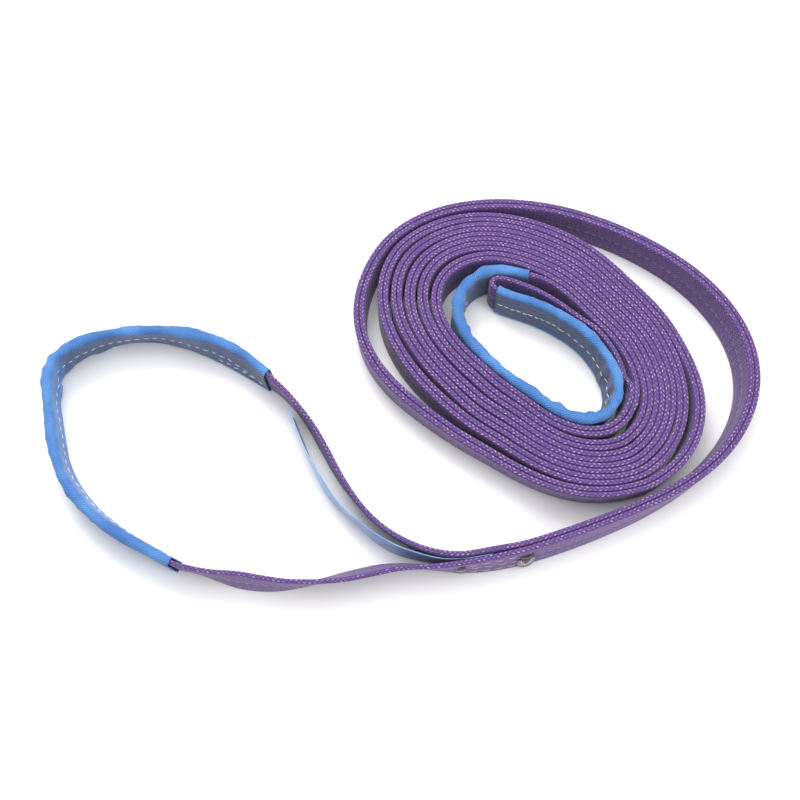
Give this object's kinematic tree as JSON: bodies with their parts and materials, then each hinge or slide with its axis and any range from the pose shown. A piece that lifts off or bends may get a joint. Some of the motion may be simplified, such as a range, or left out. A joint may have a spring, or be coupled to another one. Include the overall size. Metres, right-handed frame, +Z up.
{
  "type": "flat web sling",
  "caption": "Flat duplex webbing lifting sling with sleeved soft eyes, wound into an oval coil standing on edge, one eye led out beside it.",
  "frame": {"origin": "on the floor under the middle of the bounding box", "axes": "+Z up from the floor, +X from the outer eye towards the coil, +Y from the run side to the far side of the coil"},
  "size_m": [0.5026, 0.2922, 0.0337],
  "materials": {
    "webbing": "woven polyester, satin",
    "sleeve_cloth": "twill woven polyester, satin",
    "label_tape": "smooth tape",
    "thread": "sewing thread",
    "grey_thread": "sewing thread"
  },
  "bodies": {
    "coil": {"inner_layer_turn_1": "webbing", "inner_layer_turn_2": "webbing", "inner_layer_turn_3": "webbing", "inner_layer_turn_4": "webbing", "inner_layer_turn_5": "webbing", "inner_layer_turn_6": "webbing", "outer_layer_turn_1": "webbing", "outer_layer_turn_2": "webbing", "outer_layer_turn_3": "webbing", "outer_layer_turn_4": "webbing", "outer_layer_turn_5": "webbing", "outer_layer_turn_6": "webbing", "inner_layer_run": "webbing", "outer_layer_run": "webbing", "inner_eye_web": "webbing", "inner_eye_sleeve": "sleeve_cloth", "inner_sleeve_seam_thread": "thread", "inner_splice_stitch_row_top": "thread", "inner_splice_stitch_row_bottom": "thread"},
    "outer_eye": {"outer_eye_web": "webbing", "outer_eye_sleeve": "sleeve_cloth", "outer_sleeve_seam_thread": "thread", "outer_sleeve_end_thread": "thread", "splice_stitch_row_top": "thread", "splice_stitch_row_middle": "thread", "splice_stitch_row_bottom": "thread", "bar_tack_run_end": "grey_thread", "bar_tack_eye_end": "grey_thread", "label_sewn_end": "label_tape"},
    "label": {"label_flap": "label_tape"}
  },
  "joints": [
    {"name": "outer_eye_swing", "type": "hinge", "parent": "coil", "child": "outer_eye", "pos_m": [0.08753, -0.11857, 0.015], "axis": [0, 0, 1], "range_deg": [-12, 12]},
    {"name": "label_flap_swing", "type": "hinge", "parent": "outer_eye", "child": "label", "pos_m": [0.02966, -0.12585, 0.0125], "axis": [0, 0, 1], "range_deg": [0, 5]}
  ]
}
